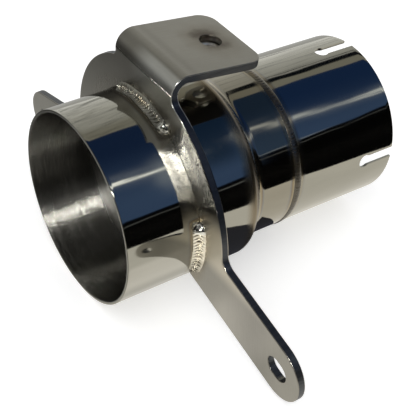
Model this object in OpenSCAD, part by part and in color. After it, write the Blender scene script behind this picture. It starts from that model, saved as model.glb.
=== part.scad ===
// Slip-on exhaust adapter with a hanger bracket, in millimetres.
// The origin is the centre of the inlet mouth. +X runs along the inlet tube to its rear, +Z is up.
// The near side is -Y and the far side is +Y. Angles round the tube start at its top.

/* [Tubes] */
// Outer diameter of the neck and outlet tubes
outlet_od = 88.9; // [76:0.1:110]
// How much larger the outer diameter of the inlet tube is
tube_step = 12.7; // [10:0.1:20]
// Wall thickness of the tubes
tube_wall = 1.5; // [1:0.1:2.5]
// Length of the inlet tube, with its rolled-in shoulder
inlet_length = 77; // [70:0.5:110]
// Outer radius of the rolled-in shoulder
shoulder_r = 5; // [3:0.5:6]
// Length of the neck tube's middle line behind the shoulder
neck_length = 26; // [15:0.2:60]
// Length of the outlet tube's middle line
outlet_length = 65.5; // [45:0.5:120]
// Angle by which the outlet leaves the inlet's axis
outlet_tilt = 3.5; // [0:0.5:8]
// Direction of that tilt, from straight down towards the far side
outlet_turn = 35; // [-90:5:90]

/* [Relief slots] */
// Number of relief slots in the outlet's mouth
slot_count = 4; // [2:1:8]
// Width of a relief slot
slot_w = 6; // [2:0.5:8]
// Diameter of the drilled hole that ends a relief slot
slot_hole_d = 7.5; // [3:0.5:10]
// Distance from the mouth to the centre of that hole
slot_depth = 19.5; // [10:0.5:35]
// Turn of the first slot from the top, towards the far side
slot_turn = 2; // [-45:1:45]

/* [Bracket] */
// Thickness of the bracket plate
plate_t = 4; // [3:0.5:5]
// Place of the plate's front face along the tube's axis
plate_x = 40.5; // [30:0.5:46]
// Forward lean of the plate's top
plate_lean = 2.5; // [0:0.5:5]
// Width of the saddle round the tube
saddle_band = 17.7; // [14:0.1:25]
// Droop of the side arms below level
arm_droop = 14.3; // [5:0.1:25]
// Width of a side arm
arm_w = 33.5; // [28:0.5:40]
// Drop of an arm's middle line below the tube's axis
arm_drop = 2.8; // [0:0.1:6]
// Distance from the tube's axis to the centre of an arm's bolt slot
arm_reach = 119; // [105:0.5:150]
// Width of an arm's bolt slot
arm_slot_w = 11; // [6:0.5:14]
// Full length of an arm's bolt slot
arm_slot_l = 14; // [14:0.5:24]
// Fillet between the saddle and an arm
arm_fillet = 7; // [3:0.5:10]
// Fillet between the saddle and the top tab, as far as the tab's height lets it be
tab_fillet = 5; // [2:0.5:8]

/* [Flange] */
// Width of the top tab and its flange
flange_w = 50; // [44:0.5:60]
// Height of the flange's top over the saddle's rim, at the plate's front face
flange_rise = 9.5; // [8.5:0.5:20]
// Reach of the flange behind the plate's front face
flange_l = 53.5; // [50:0.5:70]
// Droop of the flange from square to the plate
flange_droop = 9.3; // [0:0.1:10]
// Inner radius of the bend
bend_r = 5; // [2:0.5:6]
// Radius of the flange's rear corners
corner_r = 8.5; // [2:0.5:14]
// Distance from the plate's front face to the bolt hole
hole_x = 38.5; // [34:0.5:42]
// Diameter of the bolt hole
hole_d = 11; // [9:0.5:13]

/* [Nut] */
// Width of the weld nut across its flats
nut_af = 17; // [15:0.5:19]
// Height of the weld nut
nut_h = 8; // [5:0.5:9]
// Bore of the weld nut, at the crests of its thread
nut_bore_d = 8.5; // [6:0.1:9]
// Chamfers of the nut's bore and of its lower corners
nut_chamfer = 0.8; // [0.2:0.1:1]
// Radius of a tack weld on the nut
tack_r = 2.6; // [1:0.1:3]
// Number of tack welds on the nut
tack_count = 3; // [2:1:6]

/* [Welds] */
// Width of the ring weld at the mitre
seam_w = 4; // [3:0.1:5]
// Height of the ring weld at the mitre
seam_h = 1.1; // [0.6:0.1:2]
// Leg of the ring weld in the shoulder's corner
neck_leg = 2.6; // [1.5:0.1:3.5]
// Leg of the top stitch weld
top_stitch_leg = 3.4; // [2.5:0.1:6.5]
// Leg of a side stitch weld
side_stitch_leg = 4.3; // [3:0.1:6.5]
// Half the angle that the top stitch spans
stitch_top_turn = 26; // [10:1:28]
// Angle round the tube at which a side stitch starts
stitch_from_turn = 77; // [60:1:90]
// Angle round the tube at which a side stitch ends
stitch_to_turn = 118; // [100:1:118]
// Spacing of the ripples in a stitch weld
stitch_pitch = 1.6; // [1.4:0.1:4]
// Spacing of the ripples in a ring weld
ring_pitch = 2.2; // [1.8:0.1:6]
// Depth of a ripple as a share of the bead's thickness
ripple_share = 0.2; // [0:0.01:0.4]
// Angle by which the middle of a ripple leads its edges
ripple_lead = 0.9; // [0:0.1:1.5]

/* [Hidden] */
$fn = 96;

outlet_r = outlet_od / 2;
inlet_r = (outlet_od + tube_step) / 2;
bore_r = outlet_r - tube_wall;
// Clearance between pieces that slide together before they are welded
fit_gap = 0.05;
// Gap under a weld's facets, so that none cuts into a round tube
weld_gap = 0.02;
// Length that a cut runs past the surface it goes through
over = 1;
// Depth by which the circle of a fillet crosses the edges that it joins
fillet_bite = 0.02;
// Size of a block that stands for a half space
block = 8 * inlet_r;

// The shoulder's radius leaves the lip a land round the neck
lip_land = 0.3;
shoulder = min(shoulder_r, inlet_r - outlet_r - lip_land);

// The neck and the outlet are cut in a plane that halves the angle between them
mitre_x = inlet_length + neck_length;
mitre_tilt = outlet_tilt / 2;

saddle_r = inlet_r + saddle_band;
flange_z = saddle_r + flange_rise;
bend_outer_r = bend_r + plate_t;
bend_turn = 90 + flange_droop;
// Flat strips that each face of the bend is made of
bend_steps = 25;
// Length that the bend takes from the plate and from the flange, measured from their corner
bend_reach = bend_outer_r * tan(bend_turn / 2);
tab_top = flange_z - bend_reach;
flange_end = flange_l / cos(flange_droop);
hole_run = hole_x / cos(flange_droop);
// Largest fillet whose upper end stays below the bend
tab_fillet_most = (pow(tab_top, 2) + pow(flange_w / 2, 2) - pow(saddle_r, 2)) / (2 * saddle_r - flange_w);
tab_fillet_r = min(tab_fillet, tab_fillet_most);

// Places its children, drawn with x behind the plate's front face, y to the far side and z up the plate
module in_bracket() {
    translate([plate_x, 0, 0]) rotate([0, -plate_lean, 0]) children();
}

// Places its children, drawn with x along the flange from its corner with the plate and z = 0 at its top face
module in_flange() {
    in_bracket() translate([0, 0, flange_z]) rotate([0, flange_droop, 0]) children();
}

// Places its children, drawn along the inlet's axis from the mitre, and tilts them by an angle
module tilted(tilt) {
    translate([mitre_x, 0, 0]) rotate([outlet_turn, 0, 0]) rotate([0, tilt, 0]) rotate([-outlet_turn, 0, 0])
        children();
}

// Turns a profile, drawn with x along the axis and y outwards, round the X axis
module turned() {
    rotate([0, 90, 0]) rotate_extrude() mirror([1, -1, 0]) children();
}

module x_rod(r, from, to) {
    translate([from, 0, 0]) rotate([0, 90, 0]) cylinder(r = r, h = to - from);
}

module before_mitre() {
    tilted(mitre_tilt) translate([-block, -block / 2, -block / 2]) cube(block);
}

// Profile of a closed can of the given length and radius, whose rear edge is rounded
module can_profile(length, r, edge) {
    square([length - edge, r]);
    square([length, r - edge]);
    translate([length - edge, r - edge]) circle(edge);
}

module inlet_tube() {
    color("silver") turned() difference() {
        can_profile(inlet_length, inlet_r, shoulder);
        translate([-over, 0]) can_profile(inlet_length - tube_wall + over, inlet_r - tube_wall,
                                          shoulder - tube_wall);
        translate([-over, 0]) square([inlet_length + 2 * over, outlet_r + fit_gap]);
    }
}

module neck_tube() {
    color("silver") intersection() {
        difference() {
            x_rod(outlet_r, inlet_length - tube_wall, mitre_x + outlet_r);
            x_rod(bore_r, inlet_length - tube_wall - over, mitre_x + outlet_r + over);
        }
        before_mitre();
    }
}

// One relief slot at the top of the outlet, with the drilled hole that ends it
module relief_slot() {
    translate([outlet_length - slot_depth, -slot_w / 2, bore_r / 2]) cube([slot_depth + over, slot_w, outlet_r]);
    translate([outlet_length - slot_depth, 0, bore_r / 2]) cylinder(d = slot_hole_d, h = outlet_r);
}

module outlet_tube() {
    color("silver") difference() {
        tilted(outlet_tilt) difference() {
            x_rod(outlet_r, -outlet_r, outlet_length);
            x_rod(bore_r, -outlet_r - over, outlet_length + over);
            for (i = [0 : slot_count - 1]) rotate([-slot_turn - i * 360 / slot_count, 0, 0]) relief_slot();
        }
        before_mitre();
    }
}

// Outline of a fillet between the saddle's rim and a straight edge at height edge above the x axis
module rim_fillet(edge, r) {
    centre = [sqrt(pow(saddle_r + r - fillet_bite, 2) - pow(edge + r - fillet_bite, 2)), edge + r - fillet_bite];
    difference() {
        polygon([[0, 0], [centre[0], 0], centre]);
        translate(centre) circle(r);
    }
}

// Outline of one side arm along +x, its middle line dropped below the tube's axis
module arm_outline() {
    difference() {
        union() {
            translate([0, -arm_drop - arm_w / 2]) square([arm_reach, arm_w]);
            translate([arm_reach, -arm_drop]) circle(arm_w / 2);
            rim_fillet(arm_w / 2 - arm_drop, arm_fillet);
        }
        run = (arm_slot_l - arm_slot_w) / 2;
        translate([arm_reach - run, -arm_drop - arm_slot_w / 2]) square([2 * run, arm_slot_w]);
        for (side = [-run, run]) translate([arm_reach + side, -arm_drop]) circle(d = arm_slot_w);
    }
}

// Outline of the flat plate as seen from behind: x to the far side, y up
module plate_outline() {
    // The saddle ends on the middle lines of the arms, which carry on from there to the tube
    low = arm_drop / cos(arm_droop);
    fall = tan(arm_droop) * block;
    difference() {
        circle(saddle_r);
        polygon([[0, -low], [block, -low - fall], [block, -block], [-block, -block], [-block, -low - fall]]);
        translate([-flange_w / 2, tab_top]) square([flange_w, saddle_r]);
    }
    for (side = [0, 1]) mirror([side, 0, 0]) {
        rotate(-arm_droop) arm_outline();
        intersection() {
            mirror([1, -1, 0]) rim_fillet(flange_w / 2, tab_fillet_r);
            square([block, tab_top]);
        }
    }
}

// Side profile of the tab, its bend and the flange: x behind the plate's front face, y up the plate.
// Both faces of the bend are arcs round one centre, and the flange runs on from them.
module tab_profile() {
    centre = [bend_outer_r, tab_top];
    run = (flange_end - bend_reach) * [cos(flange_droop), -sin(flange_droop)];
    turns = [for (i = [0 : bend_steps]) bend_turn * i / bend_steps];
    outer = [for (turn = turns) centre + bend_outer_r * [-cos(turn), sin(turn)]];
    inner = [for (i = [bend_steps : -1 : 0]) centre + bend_r * [-cos(turns[i]), sin(turns[i])]];
    polygon(concat([[0, 0]], outer, [outer[bend_steps] + run, inner[0] + run], inner, [[plate_t, 0]]));
}

// What is cut from the end of the flange to round its corners
module corner_trim() {
    inset = corner_r - fillet_bite;
    for (side = [0, 1]) mirror([0, side, 0]) translate([flange_end - inset, flange_w / 2 - inset]) difference() {
        square(corner_r + over);
        circle(corner_r);
    }
}

module bracket_plate() {
    color("gainsboro") difference() {
        in_bracket() {
            rotate([90, 0, 90]) linear_extrude(plate_t) plate_outline();
            translate([0, flange_w / 2, 0]) rotate([90, 0, 0]) linear_extrude(flange_w) tab_profile();
        }
        x_rod(inlet_r + fit_gap, 0, inlet_length);
        in_flange() translate([0, 0, -2 * plate_t]) {
            linear_extrude(3 * plate_t) corner_trim();
            translate([hole_run, 0, 0]) cylinder(d = hole_d, h = 3 * plate_t);
        }
    }
}

module weld_nut() {
    corner_r = nut_af / 2 / cos(30);
    color("darkgray") in_flange() translate([hole_run, 0, -plate_t - nut_h]) difference() {
        intersection() {
            cylinder(r = corner_r, h = nut_h, $fn = 6);
            union() {
                cylinder(r1 = corner_r - 2 * nut_chamfer, r2 = corner_r, h = nut_chamfer);
                translate([0, 0, nut_chamfer]) cylinder(r = corner_r + over, h = nut_h);
            }
        }
        translate([0, 0, -over]) cylinder(d = nut_bore_d, h = nut_h + 2 * over);
        for (end = [0, 1]) translate([0, 0, end * nut_h]) mirror([0, 0, end]) translate([0, 0, -over])
            cylinder(d1 = nut_bore_d + 2 * (nut_chamfer + over), d2 = nut_bore_d, h = nut_chamfer + over);
    }
}

// Tack welds, each a quarter ball in the corner between one of the nut's flats and the flange
module nut_tack_welds() {
    color("tan") in_flange() translate([hole_run, 0, -plate_t]) difference() {
        for (i = [0 : tack_count - 1]) rotate(30 + 60 * floor(i * 6 / tack_count)) translate([nut_af / 2, 0, 0])
            sphere(tack_r, $fn = 32);
        translate([0, 0, -nut_h]) cylinder(r = nut_af / 2 / cos(30), h = nut_h + over, $fn = 6);
        translate([-block / 2, -block / 2, 0]) cube([block, block, tack_r + over]);
    }
}

// Cross-section of a fillet weld's face, from the toe on the wall to the toe on the tube.
// Each point is [height over the tube, distance from the wall, share of the ripple there].
function fillet_section(leg) = [[weld_gap, weld_gap, 0],
    for (turn = [0 : 22.5 : 90]) let (r = leg * (1 - 0.17 * sin(2 * turn)))
        [max(weld_gap, r * cos(turn)), max(weld_gap, r * sin(turn)), sin(2 * turn)]];

// Cross-section of a seam weld: its width along the tube and its crown over it
function seam_section(w, h) = [for (i = [0 : 4]) let (place = 1 - i / 2)
    [weld_gap + h * (1 - place * place), place * w / 2, 1 - place * place]];

// Point of a bead at an angle round the tube. A wall or a joint that leans moves x with the height,
// and a tube that tilts behind its mitre shifts the bead's rear half. Both follow the tilt's direction.
function bead_point(turn, part, r, x, lean, tilt, aim) =
    let (out = r + part[0] - max(part[1], 0) * tan(tilt) * cos(turn + aim))
    [x - out * cos(turn + aim) * tan(lean) + part[1], out * sin(turn), out * cos(turn)];

// Stations along a bead: the angle of each, and how full the bead is there. Each ripple swells at once
// and thins out slowly, and an open bead tapers to its round ends.
function stations(from, to, r, pitch, steps, closed, end_length) =
    let (length = (to - from) * PI / 180 * r, ripples = max(2, round(length / pitch)), count = ripples * steps)
    [for (i = [0 : closed ? count - 1 : count])
        let (along = length * i / count, rest = min(along, length - along) / end_length,
             full = closed || rest >= 1 ? 1 : max(0.3, sqrt(1 - pow(1 - rest, 2))))
        [from + (to - from) * i / count, full, (i % steps) / steps]];

// Bead swept round the tube through its stations. The side is +1 for a bead behind its wall, -1 before it.
module bead(section, places, side, closed, r, x, lean = 0, tilt = 0, aim = 0) {
    count = len(places);
    edge = len(section);
    order = side > 0 ? [0 : edge - 1] : [edge - 1 : -1 : 0];
    points = [for (place = places, j = order)
        let (swell = place[1] * (1 - ripple_share * place[2] * section[j][2]),
             part = [max(weld_gap, section[j][0] * swell), side * section[j][1] * swell])
        bead_point(place[0] + ripple_lead * section[j][2], part, r, x, lean, tilt, aim)];
    last = closed ? count - 1 : count - 2;
    sides = [for (i = [0 : last], j = [0 : edge - 1])
        let (a = i * edge + j, b = i * edge + (j + 1) % edge, c = (i + 1) % count * edge + j,
             d = (i + 1) % count * edge + (j + 1) % edge)
        each [[a, b, d], [a, d, c]]];
    top = (count - 1) * edge;
    caps = closed ? [] : [for (j = [1 : edge - 2]) each [[0, j + 1, j], [top, top + j, top + j + 1]]];
    polyhedron(points, concat(sides, caps));
}

module neck_weld() {
    places = stations(0, 360, outlet_r, ring_pitch, 2, true, 1);
    color("tan") bead(fillet_section(neck_leg), places, 1, true, outlet_r, inlet_length);
}

module outlet_weld() {
    places = stations(0, 360, outlet_r, ring_pitch, 2, true, 1);
    color("tan") bead(seam_section(seam_w, seam_h), places, 1, true, outlet_r, mitre_x, -mitre_tilt,
                      outlet_tilt, outlet_turn);
}

module stitch_weld(from, to, leg) {
    places = stations(from, to, inlet_r, stitch_pitch, 3, false, leg);
    color("tan") bead(fillet_section(leg), places, -1, false, inlet_r, plate_x, plate_lean);
}

module top_stitch_weld() {
    stitch_weld(-stitch_top_turn, stitch_top_turn, top_stitch_leg);
}

module near_stitch_weld() {
    stitch_weld(-stitch_to_turn, -stitch_from_turn, side_stitch_leg);
}

module far_stitch_weld() {
    stitch_weld(stitch_from_turn, stitch_to_turn, side_stitch_leg);
}

inlet_tube();
neck_tube();
outlet_tube();
bracket_plate();
weld_nut();
neck_weld();
outlet_weld();
top_stitch_weld();
near_stitch_weld();
far_stitch_weld();
nut_tack_welds();
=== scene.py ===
"""Looks of a welded slip-on exhaust adapter, laid out as an add-on and run as a script.

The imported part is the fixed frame: metres, the origin in the centre of the inlet's mouth, +X to the slotted
outlet, +Z up to the flange. Angles round the tube start at its top and grow to the far side, +Y.
"""

import math

import bmesh
import bpy
import numpy as np
from bpy.props import FloatProperty, FloatVectorProperty, IntProperty, PointerProperty
from mathutils import Matrix, Vector


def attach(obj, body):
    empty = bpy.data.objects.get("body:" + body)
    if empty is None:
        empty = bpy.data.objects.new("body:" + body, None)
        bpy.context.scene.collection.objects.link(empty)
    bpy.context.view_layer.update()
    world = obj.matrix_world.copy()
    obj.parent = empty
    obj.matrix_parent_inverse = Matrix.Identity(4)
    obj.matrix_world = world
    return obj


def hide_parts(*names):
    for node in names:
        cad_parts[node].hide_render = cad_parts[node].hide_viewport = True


bl_info = {
    "name": "Slip-on exhaust adapter",
    "version": (1, 0, 0),
    "blender": (4, 5, 0),
    "location": "3D View > Sidebar > Exhaust adapter",
    "description": "Builds the polished tubes, weld beads, bracket and studio of an exhaust adapter",
    "category": "Object",
}

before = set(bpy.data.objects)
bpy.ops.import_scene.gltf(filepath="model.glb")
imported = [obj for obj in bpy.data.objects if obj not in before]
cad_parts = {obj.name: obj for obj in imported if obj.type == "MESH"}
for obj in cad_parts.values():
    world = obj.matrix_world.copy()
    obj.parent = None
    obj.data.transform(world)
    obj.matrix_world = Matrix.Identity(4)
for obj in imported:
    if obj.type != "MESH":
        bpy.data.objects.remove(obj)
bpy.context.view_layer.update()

MM = 0.001
DEGREES = 180 / math.pi  # in a radian
MERGE = 1e-6  # points closer than this become one
COLUMNS = 480  # facets round a tube

# The dished joint beside the top weld: the turn from the top at which it is level, and its slope per degree
DISH_TURN = 44.3
DISH_SLOPE = 1.7

# The studio, in metres and degrees
HORIZON = 79.0
DOME_HALF = 12.0
FLOOR_HALF = 8.0
FLOOR_SPLIT = 0.07
FLOOR_SIDE = 1.2
FLOOR_CARD_HALF = 3.0
KEY_CARD_AIM = (-0.45, -0.63, 0.63)
KEY_CARD_AWAY = 1.05
DARK_FOOT = ((-0.50, -0.555), (0.42, -0.012))
DARK_TOP = 0.03
LAMP_PLACE = (-0.35, -0.45, 1.15)
LAMP_WIDTH = 1.2
PART_MIDDLE = (0.08, 0, 0)
# The bracket's shade on the ground, in millimetres: where it starts along the part, and its rear edge
SHADE_START = 60
SHADE_EDGE = ((90, -108), (93, -97), (100, -84), (107, -53), (110, -42), (113, -20), (113, 60))


def length(title, text, default):
    """A size in metres, given in millimetres."""
    return FloatProperty(name=title, description=text, default=default * MM, unit="LENGTH", precision=5)


def angle(title, text, default):
    """An angle in radians, given in degrees."""
    return FloatProperty(name=title, description=text, default=math.radians(default), unit="ROTATION")


def share(title, text, default):
    """A plain factor."""
    return FloatProperty(name=title, description=text, default=default, subtype="FACTOR",
                         soft_min=0.0, soft_max=1.0)


def colour(title, text, default):
    """A linear colour."""
    return FloatVectorProperty(name=title, description=text, default=default, size=3, subtype="COLOR",
                               min=0.0, max=4.0)


def number(title, text, default, unit="NONE"):
    """A plain number, such as the strength of a light."""
    return FloatProperty(name=title, description=text, default=default, unit=unit)


class AdapterTubes(bpy.types.PropertyGroup):
    outlet_r: length("Outlet radius", "Outer radius of the neck and outlet tubes", 44.45)
    inlet_r: length("Inlet radius", "Outer radius of the inlet tube", 50.8)
    wall: length("Wall", "Wall thickness of the tubes", 1.5)
    inlet_length: length("Inlet length", "Length of the inlet tube with its rolled shoulder", 77.0)
    shoulder: length("Shoulder radius", "Outer radius of the rolled shoulder", 5.0)
    neck_length: length("Neck length", "Length of the neck's middle line behind the shoulder", 26.0)
    outlet_length: length("Outlet length", "Length of the outlet tube's middle line", 65.5)
    tilt: angle("Outlet tilt", "Angle between the outlet and the inlet", 3.5)
    aim: angle("Tilt direction", "Direction of the tilt, from straight down towards the far side", 35.0)
    slots: IntProperty(name="Relief slots", description="Slots in the outlet", default=4, min=2, max=8)
    slot_w: length("Slot width", "Width of a relief slot", 6.0)
    slot_hole: length("Slot hole", "Diameter of the hole that ends a relief slot", 7.5)
    slot_depth: length("Slot depth", "Distance from the mouth to the centre of that hole", 19.5)
    slot_turn: angle("Slot turn", "Turn of the first slot from the top towards the far side", 2.0)
    rim: length("Rim rounding", "Rounding of the tubes' cut rims", 0.35)
    fit_gap: length("Fit gap", "Clearance between tubes that slide together", 0.05)


class AdapterBracket(bpy.types.PropertyGroup):
    plate_x: length("Plate place", "Place of the plate's front face on the tube's axis", 40.5)
    lean: angle("Plate lean", "Forward lean of the plate's top", 2.5)
    thickness: length("Plate thickness", "Thickness of the bracket plate", 4.0)
    flange_z: length("Flange height", "Height of the flange's top at the plate's front face", 78.0)
    droop: angle("Flange droop", "Droop of the flange from square to the plate", 9.3)
    hole_x: length("Hole place", "Distance from the plate's front face to the flange hole", 38.5)
    hole_r: length("Hole radius", "Radius of the flange hole", 5.5)
    edge: length("Edge rounding", "Rounding of the laser-cut edges", 0.45)
    crease_low: length("Lower crease", "Height of the press mark below the bend", 68.5)
    crease_back: length("Rear crease", "Distance of the press mark behind the bend", 13.5)
    nut_af: length("Nut flats", "Width of the weld nut across its flats", 17.0)
    nut_h: length("Nut height", "Height of the weld nut", 8.0)
    nut_bore: length("Nut bore", "Diameter of the nut at the crests of its thread", 8.5)
    nut_chamfer: length("Nut chamfer", "Chamfers of the nut", 0.8)
    thread_depth: length("Thread depth", "Depth of the nut's thread", 0.75)
    thread_pitch: length("Thread pitch", "Pitch of the nut's thread", 1.5)


class AdapterWelds(bpy.types.PropertyGroup):
    seam_w: length("Seam width", "Width of the ring weld at the mitre", 4.0)
    seam_h: length("Seam height", "Height of the ring weld at the mitre", 0.45)
    neck_leg: length("Neck leg", "Leg of the ring weld in the shoulder's corner", 2.6)
    ring_pitch: length("Ring ripple pitch", "Spacing of the ripples in a ring weld", 1.9)
    top_leg: length("Top stitch leg", "Leg of the top stitch weld on the bracket", 3.8)
    side_leg: length("Side stitch leg", "Leg of a side stitch weld on the bracket", 4.3)
    stitch_pitch: length("Stitch ripple pitch", "Spacing of the ripples in a stitch weld", 2.0)
    ripple: share("Ripple depth", "Depth of a ripple as a share of the bead's thickness", 0.19)
    lead: length("Ripple lead", "Length by which the middle of a ripple leads its edges", 1.1)
    flare: length("Neck flare", "Rise of the neck's wall towards the shoulder's weld", 0.8)
    flare_run: length("Neck flare run", "Length over which the neck's wall rises", 3.4)
    top_turn: angle("Top stitch", "Half the angle that the top stitch spans", 26.0)
    side_from: angle("Side stitch start", "Angle round the tube at which a side stitch starts", 77.0)
    side_to: angle("Side stitch end", "Angle round the tube at which a side stitch ends", 118.0)
    lift: length("Lift", "Gap under a bead's edge", 0.02)


class AdapterFinish(bpy.types.PropertyGroup):
    polished: colour("Polished steel", "Colour of the mirror-polished tubes", (0.41, 0.40, 0.355))
    satin: colour("Satin steel", "Colour of the satin bracket", (0.36, 0.345, 0.31))
    brushed: colour("Brushed steel", "Colour of the tubes' inside", (0.225, 0.222, 0.205))
    cut_edge: colour("Cut edge", "Colour of the laser-cut edges", (0.115, 0.12, 0.13))
    weld: colour("Weld metal", "Colour of the side stitch welds", (0.90, 0.845, 0.715))
    dull_weld: colour("Dull weld metal", "Colour of the top stitch weld", (0.50, 0.49, 0.44))
    ring_weld: colour("Ring weld metal", "Colour of the ring welds", (0.20, 0.185, 0.16))
    straw: colour("Straw tint", "Heat tint close to a weld", (0.36, 0.27, 0.13))
    brown: colour("Brown tint", "Heat tint further out", (0.16, 0.10, 0.06))
    blue: colour("Blue tint", "Heat tint at its outer edge", (0.17, 0.20, 0.26))
    gloss: share("Tube roughness", "Roughness of the polished tubes", 0.045)
    brush: share("Brush tilt", "Largest slope of the brush lines inside the tubes", 0.58)
    satin_rough: share("Bracket roughness", "Roughness of the bracket", 0.33)
    inside_rough: share("Inside roughness", "Roughness of the tubes' inside", 0.20)


class AdapterStudio(bpy.types.PropertyGroup):
    eye: FloatVectorProperty(name="Camera place", description="Place of the camera", size=3,
                             subtype="TRANSLATION", default=(-0.18934, -0.36757, 0.35077))
    azimuth: angle("Camera azimuth", "Direction of the view, 0 along +Y", -36.32)
    elevation: angle("Camera elevation", "Height of the camera above the horizon", 40.175)
    roll: angle("Camera roll", "Turn of the camera round its line of sight", 3.725)
    lens: number("Lens", "Focal length in millimetres on a 36 mm sensor", 94.671)
    floor_z: length("Floor height", "Height of the floor under the part", -50.9)
    floor_lift: share("Floor lift", "Light that the floor adds where it is seen, to read as white", 0.50)
    sky: share("Soft light", "Strength of the soft light from all round", 0.62)
    lamp: number("Lamp power", "Power of the soft lamp", 4.0, "POWER")
    dome_r: length("Dome radius", "Radius of the studio's curved reflector", 1200.0)
    dark: colour("Dark card", "Colour of the studio's dark card", (0.002, 0.002, 0.002))
    gate: number("Bright sky", "Strength of the bright sky before the inlet", 0.4)
    sun: number("Key card", "Strength of the small bright card behind the camera", 200.0)
    sun_tone: colour("Key card tone", "Colour of that card", (1.0, 0.985, 0.95))
    sun_r: length("Key card size", "Half the width of that card", 55.0)


GROUPS = {"tubes": AdapterTubes, "bracket": AdapterBracket, "welds": AdapterWelds, "finish": AdapterFinish,
          "studio": AdapterStudio}


def setting(group):
    """One of the property groups of this scene."""
    return getattr(bpy.context.scene, "adapter_" + group)


# Shaders


def both_ways(operation):
    """The two methods by which a Val stands before or behind the sign of an operation."""
    return (lambda self, other: self.math(operation, self, other),
            lambda self, other: self.math(operation, other, self))


class Val:
    """A number that the shader works out at each point of a surface."""

    def __init__(self, graph, socket):
        self.graph, self.socket = graph, socket

    def math(self, operation, *values):
        """One step of arithmetic with the given values."""
        return self.graph.node("ShaderNodeMath", {"operation": operation}, *values)

    __add__, __radd__ = both_ways("ADD")
    __sub__, __rsub__ = both_ways("SUBTRACT")
    __mul__, __rmul__ = both_ways("MULTIPLY")
    __truediv__ = both_ways("DIVIDE")[0]

    def __neg__(self):
        return self.math("MULTIPLY", self, -1.0)

    def __abs__(self):
        return self.math("ABSOLUTE", self)


class Graph:
    """The node tree of a material or of the world."""

    def __init__(self, tree):
        self.tree = tree
        tree.nodes.clear()

    def node(self, kind, settings, *values, out=0, **named):
        """Adds a node: its settings first, then its sockets by place or by name. Returns one of its outputs."""
        made = self.tree.nodes.new(kind)
        for name, value in settings.items():
            setattr(made, name, value)
        sockets = [(made.inputs[i], v) for i, v in enumerate(values)]
        sockets += [(made.inputs[name.replace("_", " ")], v) for name, v in named.items()]
        for socket, value in sockets:
            if isinstance(value, Val):
                self.tree.links.new(value.socket, socket)
            elif value is not None:
                socket.default_value = value
        return made if out is None else Val(self, made.outputs[out])

    def place(self):
        """The object coordinates as a vector and as x, y and z."""
        vector = self.node("ShaderNodeTexCoord", {}, out="Object")
        split = self.node("ShaderNodeSeparateXYZ", {}, vector).socket.node
        return [vector] + [Val(self, split.outputs[i]) for i in range(3)]

    def attribute(self, name):
        """A number that the mesh holds at every point."""
        return self.node("ShaderNodeAttribute", {"attribute_name": name}, out="Fac")

    def vector(self, x, y, z):
        """Three numbers as one vector."""
        return self.node("ShaderNodeCombineXYZ", {}, x, y, z)

    def degrees(self, across, up):
        """Angle round the X axis, 0 at the top and growing to the side on which across is positive."""
        return across.math("ARCTAN2", across, up) * DEGREES

    def step(self, value, low, high):
        """Rises smoothly from 0 where value is low to 1 where it is high."""
        return self.node("ShaderNodeMapRange", {"interpolation_type": "SMOOTHSTEP"}, value, low, high, 0.0, 1.0)

    def steps(self, first, *others):
        """Product of such steps, each given as its value, low and high."""
        product = self.step(*first)
        for other in others:
            product = product * self.step(*other)
        return product

    def band(self, value, centre, width):
        """1 at the centre, falling smoothly to 0 at a distance of width."""
        return 1.0 - self.step(abs(value - centre), 0.0, width)

    def hypot(self, a, b):
        """Root of the sum of two squares."""
        total = a * a + b * b
        return total.math("SQRT", total)

    def clamp(self, value):
        """The value, but 1 at most."""
        return value.math("MINIMUM", value, 1.0)

    def noise(self, vector, scale, detail=2.0, rough=0.5):
        """Smooth noise from 0 to 1."""
        return self.node("ShaderNodeTexNoise", {}, vector, Scale=scale, Detail=detail, Roughness=rough)

    def grain(self, vector, scales, detail=2.0, rough=0.5):
        """Noise with a scale of its own along each axis."""
        drawn_out = self.node("ShaderNodeVectorMath", {"operation": "MULTIPLY"}, vector, scales)
        return self.noise(drawn_out, 1.0, detail, rough)

    def mix(self, factor, a, b):
        """Blends two colours."""
        made = self.tree.nodes.new("ShaderNodeMix")
        made.data_type = "RGBA"
        for socket, value in ((made.inputs[0], factor), (made.inputs[6], a), (made.inputs[7], b)):
            if isinstance(value, Val):
                self.tree.links.new(value.socket, socket)
            else:
                socket.default_value = (*value, 1.0) if hasattr(value, "__len__") else value
        return Val(self, made.outputs[2])

    def layers(self, base, *coats):
        """Lays coats over a colour in order, each given as its cover, from 0 to 1, and its colour."""
        for cover, tone in coats:
            base = self.mix(cover, base, tone)
        return base

    def lean(self, normal, *shifts):
        """A normal that leans by each of the shifts, at its own length again."""
        for shift in shifts:
            normal = self.node("ShaderNodeVectorMath", {"operation": "ADD"}, normal, shift)
        return self.node("ShaderNodeVectorMath", {"operation": "NORMALIZE"}, normal)

    def bump(self, height, strength, distance, normal=None):
        """A normal that follows the slopes of a height, on top of a normal given."""
        return self.node("ShaderNodeBump", {}, Strength=strength, Distance=distance, Height=height,
                         Normal=normal)


def surface(name, build):
    """A material whose surface is the shader that build(graph) gives."""
    material = bpy.data.materials.new(name)
    material.use_nodes = True
    graph = Graph(material.node_tree)
    graph.node("ShaderNodeOutputMaterial", {"target": "ALL"}, build(graph), out=None)
    return material


def metal(name, look):
    """A metal whose base colour, roughness and bump come from look(graph)."""

    def build(g):
        base, rough, bump = look(g)
        return g.node("ShaderNodeBsdfPrincipled", {}, Base_Color=base, Metallic=1.0, Roughness=rough,
                      Normal=bump)

    return surface(name, build)


# Shapes


def turn_x(a):
    """Rotation matrix about the X axis."""
    c, s = math.cos(a), math.sin(a)
    return np.array([[1, 0, 0], [0, c, -s], [0, s, c]])


def turn_y(a):
    """Rotation matrix about the Y axis."""
    c, s = math.cos(a), math.sin(a)
    return np.array([[c, 0, s], [0, 1, 0], [-s, 0, c]])


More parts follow.
